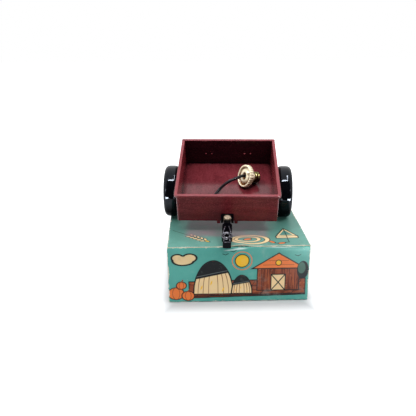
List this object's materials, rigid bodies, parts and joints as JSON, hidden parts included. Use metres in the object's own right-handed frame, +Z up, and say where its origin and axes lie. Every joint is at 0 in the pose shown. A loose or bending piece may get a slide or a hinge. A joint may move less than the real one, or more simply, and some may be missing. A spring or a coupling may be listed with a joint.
{
  "type": "toy farm trailer on its carton",
  "caption": "Toy farm trailer with a drop tailgate, spinning wheels and a drawbar, tipped nose-down on its printed tuck-end carton, with a loose hand wheel on a cord in its tray.",
  "frame": {"origin": "centre of the carton's base, on the surface it stands on", "axes": "+X to the right of the carton, +Y to its back, +Z up; the drawbar points to -Y"},
  "size_m": [0.1337, 0.1363, 0.1285],
  "materials": {
    "carton_print": "printed matt card",
    "raw_card": "bare card",
    "maroon_plastic": "moulded gloss",
    "steel": "satin",
    "black_plastic": "satin",
    "black_metal": "black enamel",
    "aged_steel": "aged",
    "brass": "polished, tarnished",
    "cream_plastic": "moulded gloss",
    "tyre_rubber": "smooth gloss",
    "ivory_plastic": "moulded gloss",
    "black_cord": "smooth"
  },
  "bodies": {
    "carton": {"carton_sleeve": "carton_print", "carton_top_panel": "carton_print"},
    "end_left": {"end_panel_left": "carton_print"},
    "end_right": {"end_panel_right": "carton_print"},
    "tongue_left": {"tuck_tongue_left": "raw_card"},
    "tongue_right": {"tuck_tongue_right": "raw_card"},
    "dust_left_front": {"dust_flap_left_front": "raw_card"},
    "dust_left_back": {"dust_flap_left_back": "raw_card"},
    "dust_right_front": {"dust_flap_right_front": "raw_card"},
    "dust_right_back": {"dust_flap_right_back": "raw_card"},
    "trailer": {"tray": "maroon_plastic", "hinge_pins": "steel", "axle_beam": "black_plastic", "axle_hanger_left": "black_plastic", "axle_hanger_right": "black_plastic", "axle_rod": "steel", "hitch_bracket": "black_metal", "hitch_bolt": "aged_steel", "drawbar": "black_metal", "drawbar_pin": "aged_steel", "rear_bracket": "black_metal", "rear_nut": "brass"},
    "tailgate": {"tailgate": "maroon_plastic", "tailgate_studs": "maroon_plastic"},
    "wheel_left": {"wheel_rim_left": "cream_plastic", "tyre_left": "tyre_rubber", "wheel_nuts_left": "brass", "hub_cap_left": "cream_plastic"},
    "wheel_right": {"wheel_rim_right": "cream_plastic", "tyre_right": "tyre_rubber", "wheel_nuts_right": "brass", "hub_cap_right": "cream_plastic"},
    "tool": {"hand_wheel": "ivory_plastic", "hand_wheel_tail": "brass", "tool_cord": "black_cord", "cord_ferrule": "brass"}
  },
  "joints": [
    {"name": "trailer_lift", "type": "slide", "parent": "carton", "child": "trailer", "axis": [0, 0, 1], "range_m": [0, 0.08]},
    {"name": "wheel_left_spin", "type": "hinge", "parent": "trailer", "child": "wheel_left", "pos_m": [-0.0613, 0.01798, 0.0814], "axis": [0.9976, -0.0698, 0], "continuous": true},
    {"name": "wheel_right_spin", "type": "hinge", "parent": "trailer", "child": "wheel_right", "pos_m": [0.05082, 0.01014, 0.0814], "axis": [0.9976, -0.0698, 0], "continuous": true},
    {"name": "tailgate_hinge", "type": "hinge", "parent": "trailer", "child": "tailgate", "pos_m": [-0.00253, 0.05291, 0.10174], "axis": [-0.9976, 0.0698, 0], "range_deg": [0, 90]},
    {"name": "tool_lift", "type": "slide", "parent": "trailer", "child": "tool", "axis": [-0.0236, -0.3379, 0.9409], "range_m": [0, 0.045]},
    {"name": "end_panel_left_hinge", "type": "hinge", "parent": "carton", "child": "end_left", "pos_m": [-0.0634, 0, 0.0014], "axis": [0, -1, 0], "range_deg": [0, 85]},
    {"name": "tongue_left_fold", "type": "hinge", "parent": "end_left", "child": "tongue_left", "pos_m": [-0.0634, 0, 0.053], "axis": [0, -1, 0], "range_deg": [-60, 0]},
    {"name": "dust_flap_left_front_hinge", "type": "hinge", "parent": "carton", "child": "dust_left_front", "pos_m": [-0.0625, -0.065, 0.026], "axis": [0, 0, -1], "range_deg": [0, 85]},
    {"name": "dust_flap_left_back_hinge", "type": "hinge", "parent": "carton", "child": "dust_left_back", "pos_m": [-0.0625, 0.065, 0.026], "axis": [0, 0, 1], "range_deg": [0, 85]},
    {"name": "end_panel_right_hinge", "type": "hinge", "parent": "carton", "child": "end_right", "pos_m": [0.0634, 0, 0.0014], "axis": [0, 1, 0], "range_deg": [0, 85]},
    {"name": "tongue_right_fold", "type": "hinge", "parent": "end_right", "child": "tongue_right", "pos_m": [0.0634, 0, 0.053], "axis": [0, 1, 0], "range_deg": [-60, 0]},
    {"name": "dust_flap_right_front_hinge", "type": "hinge", "parent": "carton", "child": "dust_right_front", "pos_m": [0.0625, -0.065, 0.026], "axis": [0, 0, 1], "range_deg": [0, 85]},
    {"name": "dust_flap_right_back_hinge", "type": "hinge", "parent": "carton", "child": "dust_right_back", "pos_m": [0.0625, 0.065, 0.026], "axis": [0, 0, -1], "range_deg": [0, 85]}
  ],
  "couplings": [
    {"joint": "tongue_left_fold", "follows": "end_panel_left_hinge", "ratio": -0.65},
    {"joint": "tongue_right_fold", "follows": "end_panel_right_hinge", "ratio": -0.65}
  ]
}
